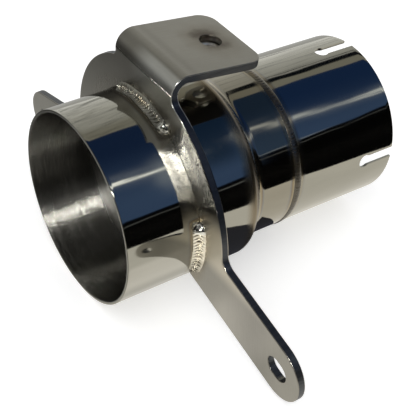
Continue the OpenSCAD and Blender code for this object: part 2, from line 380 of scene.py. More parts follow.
def round_x(along, r, turn):
    """Points at a distance along the X axis, at radius r, at an angle from the top towards the far side."""
    return np.stack(np.broadcast_arrays(along, r * np.sin(turn), r * np.cos(turn)), axis=-1)


def outlet_frame():
    """Rotation and origin of the outlet tube, whose own x axis starts in the middle of the mitre."""
    t = setting("tubes")
    turned = turn_x(t.aim) @ turn_y(t.tilt) @ turn_x(-t.aim)
    return turned, np.array([t.inlet_length + t.neck_length, 0, 0])


def flange_frame():
    """Rotation and origin of the flange: x along it from its corner with the plate, z = 0 at its top face."""
    b = setting("bracket")
    plate = turn_y(-b.lean)
    return plate @ turn_y(b.droop), np.array([b.plate_x, 0, 0]) + plate @ [0, 0, b.flange_z]


def hole_run():
    """Distance along the flange from its corner to the hole."""
    b = setting("bracket")
    return b.hole_x / math.cos(b.droop)


def quads(rows, cols, start):
    """Corner numbers of the faces of a grid of rows by cols points, numbered from start."""
    low = start + np.arange(rows - 1)[:, None] * cols + np.arange(cols - 1)[None, :]
    return np.stack([low, low + 1, low + cols + 1, low + cols], axis=-1).reshape(-1, 4)


def rows_of(items, name):
    """A vector that every vertex or face of a mesh has, one row for each."""
    values = np.zeros(len(items) * 3, np.float32)
    items.foreach_get(name, values)
    return values.reshape(-1, 3).astype(float)


def piece(name, grids, node, materials, marks=None, crease=35.0, groove=None):
    """Joins grids of points into one closed mesh that stands for a CAD node.

    Points closer than a micrometre become one, which closes seams and poles. Each mark is a number stored at
    every point, worked out from the points' places. The groove is such a number given for the first grid.
    """
    points = np.concatenate([g.reshape(-1, 3) for g in grids])
    starts = np.cumsum([0] + [g.shape[0] * g.shape[1] for g in grids[:-1]])
    faces = np.concatenate([quads(g.shape[0], g.shape[1], s) for g, s in zip(grids, starts)])
    mesh = bpy.data.meshes.new(name)
    mesh.from_pydata(points.tolist(), [], faces.tolist())
    if groove is not None:
        mark = mesh.attributes.new("groove", "FLOAT", "POINT")
        mark.data.foreach_set("value", groove.ravel().astype(np.float32))
    shell = bmesh.new()
    shell.from_mesh(mesh)
    bmesh.ops.remove_doubles(shell, verts=shell.verts, dist=MERGE)
    bmesh.ops.recalc_face_normals(shell, faces=shell.faces)
    shell.to_mesh(mesh)
    shell.free()
    finish_piece(name, mesh, node, materials, marks, crease)


def finish_piece(name, mesh, node, materials, marks=None, crease=35.0):
    """Shades a mesh smoothly up to the crease angle and puts it in the scene in place of a CAD node."""
    for mark, work in (marks or {}).items():
        values = work(rows_of(mesh.vertices, "co")).astype(np.float32)
        mesh.attributes.new(mark, "FLOAT", "POINT").data.foreach_set("value", values)
    mesh.shade_smooth()
    mesh.set_sharp_from_angle(angle=math.radians(crease))
    made = bpy.data.objects.new(name, mesh)
    bpy.context.scene.collection.objects.link(made)
    for material in materials:
        mesh.materials.append(material)
    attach(made, "root")
    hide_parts(node)
    return made


def rim_arc(e, steps=5):
    """Inset along the tube and inset of the radius on a quarter round of radius e, from the side to the end."""
    a = np.linspace(0, math.pi / 2, steps)
    return e * (1 - np.sin(a)), e * (1 - np.cos(a))


def weld_distance(points):
    """Distance in millimetres from each point on the tubes to the nearest bead, along the tube."""
    t, b, w = setting("tubes"), setting("bracket"), setting("welds")
    x, y, z = points.T
    turn = np.degrees(np.arctan2(y, z))
    r = np.hypot(y, z)
    mitre = t.inlet_length + t.neck_length + math.tan(t.tilt / 2) * (z * math.cos(t.aim) - y * math.sin(t.aim))
    seam = np.abs(x - mitre) - w.seam_w / 2
    neck = np.maximum(t.inlet_length - x, x - t.inlet_length - w.neck_leg)
    stitch = np.maximum(b.plate_x - w.side_leg - z * math.tan(b.lean) - x, x - b.plate_x - b.thickness)
    spans = [(math.degrees(a), math.degrees(c)) for a, c in
             ((-w.top_turn, w.top_turn), (w.side_from, w.side_to), (-w.side_to, -w.side_from))]
    aside = np.min([np.maximum(0, np.maximum(a - turn, turn - c)) for a, c in spans], axis=0)
    stitch = np.hypot(np.maximum(stitch, 0), np.radians(aside) * r)
    return np.maximum(0, np.min([seam, neck, stitch], axis=0)) / MM


def inside_tube(points):
    """1 on the inside of the tubes and 0 on their outside."""
    t = setting("tubes")
    turned, origin = outlet_frame()
    x, y, z = points.T
    _, own_y, own_z = ((points - origin) @ turned).T
    mitre = origin[0] + math.tan(t.tilt / 2) * (z * math.cos(t.aim) - y * math.sin(t.aim))
    r = np.where(x < mitre, np.hypot(y, z), np.hypot(own_y, own_z))
    straight = t.inlet_length - t.shoulder
    outer = np.where(x < straight, t.inlet_r, t.outlet_r)
    bend = (x >= straight) & (x <= t.inlet_length) & (r > t.outlet_r + t.fit_gap / 2)
    rolled = np.hypot(x - straight, r - (t.inlet_r - t.shoulder))
    inner = np.where(bend, rolled < t.shoulder - t.wall / 2, r < outer - t.wall / 2)
    return inner.astype(float)


def tube_piece(name, grids, node):
    """A tube with its two marks: the inside, and the distance to the beads."""
    marks = {"inside": inside_tube, "weld_gap": weld_distance}
    piece(name, grids, node, [tube_metal()], marks)


class ADAPTER_OT_inlet_tube(bpy.types.Operator):
    """Inlet tube: its wall's outline turned round the X axis"""

    bl_idname = "adapter.inlet_tube"
    bl_label = "Inlet tube"

    def execute(self, context):
        t = setting("tubes")
        rs, rr = rim_arc(t.rim)
        straight = t.inlet_length - t.shoulder
        bend = np.linspace(0, math.pi / 2, 19)
        knee = t.inlet_r - t.shoulder
        lip = t.outlet_r + t.fit_gap
        inner_bend = t.shoulder - t.wall
        flat = np.linspace(t.rim, straight, 49)
        outer = [(s, t.inlet_r - c) for s, c in zip(rs[::-1], rr[::-1])]
        outer += [(s, t.inlet_r) for s in flat[1:]]
        outer += [(straight + t.shoulder * math.sin(a), knee + t.shoulder * math.cos(a)) for a in bend[1:]]
        outer += [(t.inlet_length, knee - (knee - lip) / 2), (t.inlet_length, lip)]
        outer += [(t.inlet_length - t.wall, lip)]
        inner = [(straight + inner_bend * math.sin(a), knee + inner_bend * math.cos(a)) for a in bend[::-1]]
        inner += [(s, t.inlet_r - t.wall) for s in flat[-2::-1]]
        inner += [(s, t.inlet_r - t.wall + c) for s, c in zip(rs[1:], rr[1:])]
        outline = np.array(outer + inner + outer[:1])
        turn = np.linspace(0, 2 * math.pi, COLUMNS + 1)
        grid = round_x(outline[:, :1], outline[:, 1:], turn[None, :])
        tube_piece("polished_inlet_tube", [grid], "inlet_tube")
        return {"FINISHED"}


class ADAPTER_OT_neck_tube(bpy.types.Operator):
    """Neck tube: two walls that run from the rolled lip to the slanted plane of the mitre"""

    bl_idname = "adapter.neck_tube"
    bl_label = "Neck tube"

    def execute(self, context):
        t, w = setting("tubes"), setting("welds")
        turn = np.linspace(0, 2 * math.pi, COLUMNS + 1)[None, :]
        share_along = np.linspace(0, 1, 57)[:, None]
        front = t.inlet_length - t.wall

        def wall(r, flare):
            back = t.inlet_length + t.neck_length + r * np.cos(turn + t.aim) * math.tan(t.tilt / 2)
            along = front + (back - front) * share_along
            past = np.clip((along - t.inlet_length - w.neck_leg) / w.flare_run, 0, 1)
            return round_x(along, r + flare * (1 - past) ** 2 * (along > t.inlet_length), turn)

        outer, inner = wall(t.outlet_r, w.flare), wall(t.outlet_r - t.wall, 0)
        caps = [np.stack([outer[end], inner[end]]) for end in (0, -1)]
        tube_piece("polished_neck_tube", [outer, inner] + caps, "neck_tube")
        return {"FINISHED"}


class ADAPTER_OT_outlet_tube(bpy.types.Operator):
    """Outlet tube: one wall panel between each two relief slots, whose sides follow the keyholes' outlines"""

    bl_idname = "adapter.outlet_tube"
    bl_label = "Outlet tube"

    def execute(self, context):
        t = setting("tubes")
        turned, origin = outlet_frame()
        hole_r, half = t.slot_hole / 2, t.slot_w / 2
        hole_s = t.outlet_length - t.slot_depth
        # Half the keyhole's width at stations along the tube: a circle, then the slot's parallel sides
        swing = np.linspace(0, math.pi - math.asin(half / hole_r), 25)
        rs, rr = rim_arc(t.rim)
        shank = np.linspace(hole_s - hole_r * math.cos(swing[-1]), t.outlet_length - t.rim, 10)[1:]
        s = np.concatenate([hole_s - hole_r * np.cos(swing), shank, t.outlet_length - rs[1:]])
        gap = np.concatenate([hole_r * np.sin(swing), np.full(len(shank) + len(rs) - 1, half)])
        inset = np.concatenate([np.zeros(len(swing) + len(shank)), rr[1:]])
        front = np.linspace(0, 1, 25)[:-1, None]
        pitch = 2 * math.pi / t.slots
        across = np.linspace(0, 1, COLUMNS // t.slots + 1)[None, :]
        grids = []
        for i in range(t.slots):
            start = t.slot_turn + i * pitch

            def wall(radius, inward):
                r = radius - inward * inset[:, None]
                side = np.arcsin(gap[:, None] / r)
                turn = start + side + (pitch - 2 * side) * across
                first = -radius * np.cos(turn[0] + t.aim) * math.tan(t.tilt / 2)
                plain = round_x(first + (s[0] - first) * front, radius, turn[:1])
                return np.concatenate([plain, round_x(s[:, None], r, turn)]) @ turned.T + origin

            outer, inner = wall(t.outlet_r, 1), wall(t.outlet_r - t.wall, -1)
            cut = slice(len(front), None)
            grids += [outer, inner, np.stack([outer[0], inner[0]]), np.stack([outer[-1], inner[-1]])]
            grids += [np.stack([outer[cut, edge], inner[cut, edge]]) for edge in (0, -1)]
        tube_piece("polished_outlet_tube", grids, "outlet_tube")
        return {"FINISHED"}


def ripples(along, across, pitch, lead, seed):
    """Depth of the weld's ripples, 0 at a crest and 1 in a trough.

    Each ripple deepens with the power 1.5 of the share of its length that is past, and starts anew. Its middle
    leads its edges, which bends it into an arc. Slow sine waves make its length and depth a little uneven.
    """
    rng = np.random.default_rng(seed)
    uneven = sum(np.sin(along / (pitch * n) + rng.uniform(0, 6.28)) * pitch * 0.12 for n in (1.7, 2.9, 4.3))
    place = (along + uneven + lead * across) / pitch
    count = np.floor(place)
    depth = 1 + 0.35 * np.sin(count * 12.9898 + seed) * np.sin(count * 4.1414)
    return (place - count) ** 1.5 * depth


def bead(name, node, turns, height, place, groove, finish, r, x, close, lean=0.0, tilt=0.0, aim=0.0):
    """Bead swept round a tube: each station has a section of heights over the tube and places along it.

    The lean slants the plane in which the bead lies, in the direction of the aim. The tilt is that of a tube
    behind a mitre: the part of the section that lies on that tube sinks and rises with it.
    """
    out = r + height - np.maximum(place, 0) * math.tan(tilt) * np.cos(turns + aim)
    grid = round_x(x - out * np.cos(turns + aim) * math.tan(lean) + place, out, turns)
    if close:
        grid[-1] = grid[0]
    grid = np.concatenate([grid, grid[:, :1]], axis=1)
    groove = np.concatenate([groove, groove[:, :1]], axis=1)
    piece(name, [grid], node, [finish], crease=70.0, groove=groove)


def fillet(leg, arc, side, groove):
    """Sections of a fillet: a first point in the corner, then a quarter round over the arc with the given legs.

    The side is 1 behind the corner and -1 before it. Gives heights, places along the tube, and the groove.
    """
    lift = setting("welds").lift
    root = np.full((len(leg), 1), lift)
    height, place = (np.hstack([root, np.maximum(lift, leg * part)]) for part in (np.cos(arc), np.sin(arc)))
    return height, side * place, np.hstack([0 * root, groove])


def ring_turns(r, pitch):
    """Angles of the stations of a ring bead, ten to a ripple."""
    return np.linspace(0, 2 * math.pi, 10 * round(2 * math.pi * r / pitch) + 1)[:, None]


def ring_ripples(turns, across, seed):
    """Ripples of a ring bead, whose last station is its first."""
    t, w = setting("tubes"), setting("welds")
    wave = ripples(turns * t.outlet_r, across, w.ring_pitch, w.lead, seed)
    wave[-1] = wave[0]
    return wave


class ADAPTER_OT_ring_welds(bpy.types.Operator):
    """Ring welds: a rippled quarter round in the rolled shoulder's corner and a rippled arch over the mitre"""

    bl_idname = "adapter.ring_welds"
    bl_label = "Ring welds"

    def execute(self, context):
        t, w = setting("tubes"), setting("welds")
        turns = ring_turns(t.outlet_r, w.ring_pitch)
        arc = np.linspace(0, math.pi / 2, 13)[None, :]
        body = np.sin(2 * arc)
        wave = ring_ripples(turns, body, 3)
        leg = w.neck_leg * (1 - 0.17 * body) * (1 - w.ripple * wave * body)
        bead("neck_ring_bead", "neck_weld", turns, *fillet(leg, arc, 1, wave * body), ring_weld_metal(),
             t.outlet_r, t.inlet_length, True)
        across = np.linspace(1, -1, 15)[None, :]
        crown = 1 - across * across
        wave = ring_ripples(turns, crown, 5)
        sway = 1 + 0.05 * np.sin(3 * turns + 1) + 0.04 * np.sin(11 * turns)
        height = w.lift + w.seam_h * crown * (1 - w.ripple * wave)
        place = w.seam_w / 2 * across * np.minimum(sway, 1.04)
        mitre_x = t.inlet_length + t.neck_length
        bead("outlet_ring_bead", "outlet_weld", turns, height, place, wave * crown, ring_weld_metal(),
             t.outlet_r, mitre_x, True, -t.tilt / 2, t.tilt, t.aim)
        return {"FINISHED"}


class ADAPTER_OT_stitch_welds(bpy.types.Operator):
    """Stitch welds: three rippled quarter rounds between the inlet tube and the bracket, with rounded ends"""

    bl_idname = "adapter.stitch_welds"
    bl_label = "Stitch welds"

    def execute(self, context):
        t, b, w = setting("tubes"), setting("bracket"), setting("welds")
        runs = {"top": (-w.top_turn, w.top_turn, w.top_leg), "near": (-w.side_from, -w.side_to, w.side_leg),
                "far": (w.side_from, w.side_to, w.side_leg)}
        for seed, (side, (start, end, size)) in enumerate(runs.items()):
            finish = top_weld_metal() if side == "top" else side_weld_metal()
            run = abs(end - start) * t.inlet_r
            count = 14 * round(run / w.stitch_pitch)
            even = np.linspace(0, 1, count + 1)[:, None]
            along = even * run
            rest = np.minimum(even, 1 - even) * run / size
            full = np.sqrt(np.clip(1 - (1 - np.minimum(rest, 1)) ** 2, 0, 1))
            blob = np.exp(-((along - 0.8 * size) / (0.5 * size)) ** 2)
            arc = np.linspace(0, math.pi / 2, 19)[None, :]
            body = np.sin(2 * arc)
            wave = ripples(along, body, w.stitch_pitch, 1.6 * w.lead, seed + 11) * (1 - blob)
            uneven = 1 + 0.05 * np.sin(along / (1.9 * size) + seed) + 0.04 * np.sin(along / (0.7 * size))
            leg = size * full * (1 - 0.17 * body * (1 - 0.8 * blob)) * (1 - w.ripple * wave * body) * uneven
            bead(side + "_stitch_bead", side + "_stitch_weld", start + (end - start) * even,
                 *fillet(leg, arc, -1, wave * body), finish, t.inlet_r, b.plate_x, False, b.lean)
        return {"FINISHED"}


class ADAPTER_OT_bracket(bpy.types.Operator):
    """Bracket: the plate's own solid with its edges rounded, and its cut edges in a finish of their own"""

    bl_idname = "adapter.bracket"
    bl_label = "Bracket"

    def execute(self, context):
        b = setting("bracket")
        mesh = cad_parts["bracket_plate"].data.copy()
        mesh.materials.clear()
        shell = bmesh.new()
        shell.from_mesh(mesh)
        bmesh.ops.remove_doubles(shell, verts=shell.verts, dist=MERGE)
        bmesh.ops.dissolve_limit(shell, angle_limit=math.radians(0.5), verts=shell.verts, edges=shell.edges)
        shell.to_mesh(mesh)
        shell.free()
        made = finish_piece("satin_bracket", mesh, "bracket_plate", [plate_metal(), edge_metal()])

        # The plate's sides and the flange's rear end are cut edges, but the wall of the flange's hole isn't
        turned, origin = flange_frame()
        along, across, normal = turned.T
        middle, facing = rows_of(mesh.polygons, "center") - origin, rows_of(mesh.polygons, "normal")
        away = np.hypot(middle @ along - hole_run(), middle @ across)
        end = (middle @ along > b.hole_x) & (abs(facing @ normal) <= 0.9)
        cut = ((abs(facing[:, 1]) > 0.2) | end) & (away > b.hole_r + MM)
        mesh.polygons.foreach_set("material_index", cut.astype(np.int32))
        soft = made.modifiers.new("soft edges", "BEVEL")
        soft.width, soft.segments, soft.limit_method, soft.angle_limit = b.edge, 3, "ANGLE", math.radians(40)
        soft.harden_normals = True
        soft.material = 0
        return {"FINISHED"}


class ADAPTER_OT_weld_nut(bpy.types.Operator):
    """Weld nut: one outline over the faces and the thread, its radius a function of angle and height"""

    bl_idname = "adapter.weld_nut"
    bl_label = "Weld nut and its tacks"

    def execute(self, context):
        b = setting("bracket")
        turned, origin = flange_frame()
        a = np.linspace(0, 2 * math.pi, 241)[None, :]
        hexagon = b.nut_af / 2 / np.cos(np.mod(a, math.pi / 3) - math.pi / 6)
        corner, bore, edge = b.nut_af / math.sqrt(3), b.nut_bore / 2, b.nut_chamfer
        rise = np.linspace(0, edge, 5)[:, None]
        skirt = np.minimum(hexagon, corner - 2 * edge + 2 * rise)
        mouth = 0 * hexagon + bore + edge
        rows = [(0, mouth), (rise, skirt), (b.nut_h, hexagon), (b.nut_h, mouth)]
        depth = np.linspace(b.nut_h - edge, edge, 61)[:, None]
        phase = np.mod(depth / b.thread_pitch - a / (2 * math.pi), 1.0)
        groove = np.clip(1.6 * (1 - abs(2 * phase - 1)) - 0.3, 0, 1)
        fade = np.clip(np.minimum(b.nut_h - edge - depth, depth - edge) / (0.3 * b.thread_pitch), 0, 1)
        rows += [(depth, bore + b.thread_depth * groove * fade), rows[0]]
        z = np.concatenate([np.broadcast_to(height, radius.shape) for height, radius in rows])
        r = np.concatenate([radius for _, radius in rows])
        grid = np.stack([hole_run() + r * np.cos(a), r * np.sin(a), z - b.thickness - b.nut_h], axis=-1)
        piece("threaded_weld_nut", [grid @ turned.T + origin], "weld_nut", [nut_metal()],
              crease=25.0)
        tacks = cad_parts["nut_tack_welds"]
        tacks.data.materials.clear()
        tacks.data.materials.append(side_weld_metal())
        return {"FINISHED"}


# Finishes


def kept(make):
    """Makes a material once and gives the same one again later."""
    made = {}

    def give():
        if "it" not in made:
            made["it"] = make()
        return made["it"]

    return give


def times(factor, tone):
    """A colour made darker or lighter."""
    return tuple(factor * c for c in tone)


def heat_tint(g, base, gap, strength):
    """Straw, brown and blue bands beside a weld, by the distance from it in millimetres."""
    f = setting("finish")
    return g.layers(base, (0.7 * strength * g.band(gap, 0.6, 1.0), f.straw),
                    (0.6 * strength * g.band(gap, 1.5, 0.8), f.brown),
                    (0.4 * strength * g.band(gap, 2.3, 0.8), f.blue))


@kept
def tube_metal():
    """Mirror-polished outside and brushed inside, with heat tint beside the welds.

    Outside, the neck and the rolled shoulder are browned, a painted shadow darkens the tube before the top weld
    and the polish is duller before the bracket. Inside, the brush lines lean the normal to the mouth, and the
    deep part is darkened as painted shade.
    """
    t, b, f = setting("tubes"), setting("bracket"), setting("finish")
    step_at, mitre_at = t.inlet_length / MM, (t.inlet_length + t.neck_length) / MM

    def look(g):
        vector, x, y, z = g.place()
        along, up = x / MM, z / MM
        inside, gap = g.attribute("inside"), g.attribute("weld_gap")
        outside = 1.0 - inside
        wander = g.noise(vector, 90.0, 3.0)
        patch = g.noise(vector, 28.0, 2.0)
        haze = g.grain(vector, (25.0, 90.0, 90.0), 3.0)
        rings = g.grain(vector, (1500.0, 14.0, 14.0), 2.0, 0.6)
        coarse = g.grain(vector, (640.0, 22.0, 22.0), 3.0, 0.6)
        sway = g.grain(vector, (16.0, 40.0, 40.0))

        neck = g.steps((along, step_at + 1.0, step_at + 4.0), (along, mitre_at + 2.0, mitre_at - 2.0))
        rolled = g.steps((along, step_at - 10.5, step_at - 4.0), (along, step_at + 1.5, step_at + 0.5))
        outer = g.layers(f.polished, (g.step(haze, 0.3, 0.8) * 0.25, times(0.85, f.polished)),
                         (0.38 * neck, (0.27, 0.225, 0.155)), (0.75 * rolled, (0.21, 0.155, 0.085)))
        outer = heat_tint(g, outer, gap + (wander - 0.5) * 2.0, g.step(patch, 0.25, 0.65))
        # Painted shadow: the tube beside the top weld is darkened where the weld's shade falls
        painted_weld_shadow = g.steps((gap, 3.4, 0.8), (up, 26.0, 38.0), (along, 60.0, 52.0))
        outer = g.mix(0.62 * painted_weld_shadow, outer, (0.06, 0.055, 0.045))
        turn = g.degrees(y, z)
        # Painted shade: deep inside the inlet, low on the far side, the wall is darkened
        deep = g.steps((along, 20.0, 33.0), (turn, 131.0, 122.0), (turn, 60.0, 90.0))
        inner = g.mix(rings, times(0.75, f.brushed), times(1.25, f.brushed))
        inner = g.mix(0.7 * deep, inner, (0.06, 0.06, 0.055))

        close = g.step(gap, 4.0, 0.0) * outside
        before = (x - b.plate_x + z * math.tan(b.lean)) / MM + (patch - 0.5) * 7.0
        dull = g.steps((before, -9.0, -4.0), (before, 3.0, 2.0))
        rough = f.gloss + 0.04 * haze + 0.10 * close + 0.13 * dull + 0.22 * outside * rolled
        rough = rough + inside * (f.inside_rough - f.gloss + (rings - 0.5) * 0.10)

        normal = g.node("ShaderNodeNewGeometry", {}, out="Normal")
        line = x.math("PINGPONG", x * 23000.0 + 40.0 * rings, 1.0)
        brushed = g.vector(-f.brush * inside * line * line * line, 0.0, 0.0)
        round_tube = g.node("ShaderNodeVectorMath", {"operation": "CROSS_PRODUCT"}, (1.0, 0.0, 0.0), normal)
        uneven = inside * (0.10 * (rings - 0.5) + 0.20 * (coarse - 0.5))
        wave = g.node("ShaderNodeVectorMath", {"operation": "SCALE"}, round_tube, Scale=uneven)
        height = outside * (sway * 0.26 + wander * 0.02 * close)
        return g.mix(inside, outer, inner), rough, g.bump(height, 1.0, 0.0011, g.lean(normal, brushed, wave))

    return metal("polished_tube_steel", look)


def weld_look(name, tone, groove_depth, shade):
    """Weld metal: bright crests, grooves darkened by oxide and painted shade, straw and dark patches, a fine
    grain.

    shade(graph, y, z) gives two shares from a place in millimetres: how much a stretch of the bead is darkened
    by painted shade, and how much of it is the smooth ball at the bead's end, painted pale as a highlight.
    """
    f = setting("finish")

    def look(g):
        vector, _, y, z = g.place()
        groove = g.attribute("groove")
        patch = g.noise(vector, 160.0, 3.0)
        grain = g.noise(vector, 1400.0, 3.0)
        painted_dimming, ball = shade(g, y / MM, z / MM)
        # Painted shade dims a stretch, the grooves are darkened by oxide and painted shade, the ball is a
        # painted highlight
        base = g.layers(tone, (g.step(patch, 0.45, 0.75) * 0.4, times(0.8, f.straw)),
                        (g.step(patch, 0.42, 0.2) * 0.6, times(0.5, tone)), (painted_dimming, times(0.35, tone)),
                        (groove_depth * g.step(groove, 0.35, 0.95), (0.08, 0.068, 0.05)),
                        (0.9 * ball, (0.85, 0.85, 0.80)))
        rough = 0.19 + 0.12 * patch + 0.06 * grain + 0.2 * g.step(groove, 0.3, 0.9) - 0.12 * ball
        return base, rough, g.bump(grain * (1.0 - ball), 0.35, 0.0002)

    return metal(name, look)


@kept
def side_weld_metal():
    """Pale weld metal of the side stitches and the nut's tacks, with painted shade low down, smooth at its
    upper end.
    """
    return weld_look("side_weld_steel", setting("finish").weld, 0.8,
                     # Painted shade low down; the smooth upper end is painted pale as a highlight
                     lambda g, y, z: (0.45 * g.step(z, -8.0, -18.0), g.step(z, 6.0, 7.0)))


@kept
def top_weld_metal():
    """Duller top stitch weld metal, with painted shade towards its near end, a smooth ball with a painted
    highlight.
    """

    def shade(g, y, z):
        # Painted shade towards the near end, and the pale end ball as a painted highlight
        return 0.8 * g.steps((y, -4.0, -14.0), (y, -19.5, -18.0)), g.step(y, -18.0, -19.5)

    return weld_look("top_weld_steel", setting("finish").dull_weld, 0.8, shade)


@kept
def ring_weld_metal():
    """Dark, lightly tinted weld metal of the ring beads, with painted shade down their sides."""
    return weld_look("ring_weld_steel", setting("finish").ring_weld, 0.85,
                     # Painted shade down the beads' sides
                     lambda g, y, z: (0.45 * g.step(z, 44.0, 32.0), 0.0 * z))


@kept
def plate_metal():
    """Satin sheet with a rolling grain that runs up the plate and along the flange, blotches and heat marks.

    The flange is browned round its hole; its underside is darkened as painted shade and painted pale towards
    the far side as painted light. On the near side the face beside the tube is dished by the weld's pull: its
    brushed rays mirror a bright patch, which a painted tone bounds, with a painted dark strip beside it and
    painted shade rimward and lower down. The near side also has painted shade and light by height, and the tab
    a painted sheen. The press marks beside the bend catch the light in glints, which are partly a painted
    highlight.
    """
    b, f = setting("bracket"), setting("finish")

    def look(g):
        vector, x, y, z = g.place()
        across, up = y / MM, z / MM
        grain = g.grain(vector, (45.0, 1500.0, 45.0), 3.0, 0.6)
        blotch = g.noise(vector, 38.0, 4.0, 0.6)
        speck = g.noise(vector, 900.0, 2.0)
        smoke = g.noise(vector, 75.0, 3.0)
        sparkle = g.noise(vector, 520.0, 1.0)
        base = g.layers(g.mix(blotch, times(0.80, f.satin), times(1.18, f.satin)),
                        (0.25 * grain, times(0.7, f.satin)))

        # The flange round its hole, with heat marks, and under it: painted shade, paler towards the far side as
        # painted light
        turned, origin = flange_frame()
        hole = origin + turned @ [hole_run(), 0, 0]
        hole_x, hole_z = float(hole[0]), float(hole[2])
        past = (x - b.plate_x) / MM
        away = g.hypot(x - hole_x, 0.82 * y) / MM + (smoke - 0.5) * 9.0
        top = g.step(z, hole_z - 3 * MM, hole_z - 1 * MM)
        sides = 0.3 + 0.7 * g.step(abs(across), 1.5, 7.0)
        below = z - (x - hole_x) * float(turned[2, 0] / turned[0, 0])
        under = g.steps((below, hole_z - 2.0 * MM, hole_z - 3.5 * MM), (past, 6.0, 10.0))
        base = g.layers(base, (top * 0.35 * g.step(away, 17.0, 8.0), (0.19, 0.16, 0.11)),
                        (top * 0.85 * sides * g.step(away, 10.5, 5.0), (0.055, 0.036, 0.022)),
                        (0.85 * under, (0.03, 0.026, 0.024)),
                        (0.85 * under * g.step(across, 4.0, 9.0), (0.75, 0.71, 0.60)))

        # The plate's face: heat round the tube, on the near side painted shade and painted light by height, the
        # near arm darker, a painted sheen on the tab
        r = g.hypot(y, z) / MM
        heat = g.steps((abs(up), 66.0, 64.0), (r + (blotch - 0.5) * 8.0, 60.0, 54.0))
        near = g.step(across, -28.0, -38.0)
        tab = g.steps((up, 53.0, 60.0), (across, 14.0, -6.0), (past, 3.0, 1.0))
        base = g.layers(base, ((0.10 + 0.25 * g.step(up, 18.0, -2.0)) * heat, times(0.55, f.straw)),
                        (0.45 * near * g.steps((up, 17.0, 25.0), (up, 48.0, 38.0)), (0.02, 0.022, 0.022)),
                        (0.72 * near * g.steps((up, 25.0, 12.0), (up, -15.0, -4.0)), (0.80, 0.74, 0.62)),
                        (0.32 * g.band(across, -96.0, 30.0), (0.05, 0.05, 0.045)),
                        (0.62 * tab, (0.90, 0.91, 0.88)))

        # The joint beside the top weld's near end, by the angle from the top to the near side: a painted tone
        # that bounds the mirrored bright patch, a painted dark strip, and painted shade rimward and lower down
        joint = g.degrees(-y, z)
        turn = joint + (blotch - 0.5) * 3.0
        painted_patch = g.steps((turn, 28.5, 30.5), (turn, 49.0, 47.0), (r, 72.0, 60.0))
        bright = g.mix(g.step(turn, 34.0, 44.0), (0.22, 0.225, 0.23), (0.052, 0.054, 0.055))
        painted_dark_strip = near * g.steps((turn, 46.0, 49.0), (turn, 65.0, 56.0))
        rimward = near * g.steps((turn, 31.0, 35.0), (turn, 66.0, 58.0), (r, 57.5, 62.0))
        lower = near * g.steps((turn, 55.0, 61.0), (turn, 76.0, 66.0))
        # Painted light and shade: the patch's tone, the dark strip, and the darker rimward and lower stretches
        base = g.layers(base, (0.85 * painted_patch, bright), (0.94 * painted_dark_strip, (0.012, 0.012, 0.011)),
                        (0.82 * rimward, (0.004, 0.004, 0.004)), (0.35 * lower, (0.010, 0.010, 0.009)))

        # The press marks below and behind the bend; the glints on the lower mark are a painted highlight on
        # leaning facets
        run = (x - float(origin[0])) / MM
        crease = g.band(up + (blotch - 0.5) * 0.8, b.crease_low / MM, 0.8) * g.step(run, 5.5, 4.5)
        glint = crease * g.steps((across, -6.5, -9.0), (sparkle, 0.40, 0.50))
        press = g.band(run, b.crease_back / MM, 3.5) * g.step(up, 70.0, 71.0)
        # Painted highlight: the glints are painted pale
        base = g.layers(base, (glint, (1.0, 0.97, 0.88)), (0.22 * press, times(0.55, f.satin)))

        rough = f.satin_rough + (blotch - 0.5) * 0.12 + (grain - 0.5) * 0.10 - 0.05 * heat - 0.12 * crease
        rough = rough - 0.07 * near * g.steps((turn, 26.0, 30.0), (turn, 72.0, 62.0), (r, 76.0, 66.0))
        streaks = g.noise(g.vector(turn * 0.9, r * 0.12, 0.0), 1.0, 3.0, 0.6)
        dish = (DISH_TURN - turn) * (DISH_SLOPE / DEGREES) + 0.7 * (streaks - 0.5)
        dish = -0.7 * dish * near * g.steps((turn, 26.0, 30.0), (turn, 70.0, 64.0), (r, 76.0, 70.0))
        normal = g.lean(g.node("ShaderNodeNewGeometry", {}, out="Normal"), g.vector(0.0, dish, dish),
                        g.vector(0.55 * glint, -0.62 * glint, 0.645 * glint))
        height = grain * 0.35 + speck * 0.2 + blotch * 0.5 - crease * 0.5 - press * 0.4
        return base, rough, g.bump(height, 0.55, 0.0002, normal)

    return metal("satin_plate_steel", look)


@kept
def edge_metal():
    """Laser-cut edge: dark, fine lines across the thickness, painted bluer round saddle and bend as sky
    reflection.
    """
    f = setting("finish")

    def look(g):
        vector, x, _, z = g.place()
        lines = g.grain(vector, (60.0, 1300.0, 1300.0))
        # Painted sky reflection: the edges round the saddle and the bend are darker and bluer
        saddle = g.steps((z / MM, 5.0, 20.0), (x / MM, 58.0, 48.0))
        base = g.layers(g.mix(lines, times(0.7, f.cut_edge), times(1.25, f.cut_edge)),
                        (0.55 * saddle, (0.01, 0.02, 0.04)))
        return base, 0.34 + 0.16 * lines, g.bump(lines, 0.5, 0.0003)

    return metal("laser_cut_steel", look)


@kept
def nut_metal():
    """Turned nut steel, with painted light that makes it paler at its top."""
    f = setting("finish")

    def look(g):
        vector, _, _, z = g.place()
        fine = g.noise(vector, 700.0, 3.0)
        # Painted light: the nut's upper part is paler, as if lit from above
        base = g.layers(g.mix(fine, times(0.85, f.satin), times(1.2, f.satin)),
                        (0.6 * g.step(z / MM, 60.0, 67.0), (0.66, 0.65, 0.62)))
        return base, 0.24 + 0.14 * fine, g.bump(fine, 0.3, 0.0002)

    return metal("nut_steel_turned", look)


# Studio


def seen(g):
    """1 for the rays that show a surface in the picture, directly, in metal or through glass."""
    path = g.node("ShaderNodeLightPath", {}, out="Is Camera Ray")
    node = path.socket.node
    both = path.math("MAXIMUM", path, Val(g, node.outputs["Is Glossy Ray"]))
    return path.math("MAXIMUM", both, Val(g, node.outputs["Is Transmission Ray"]))


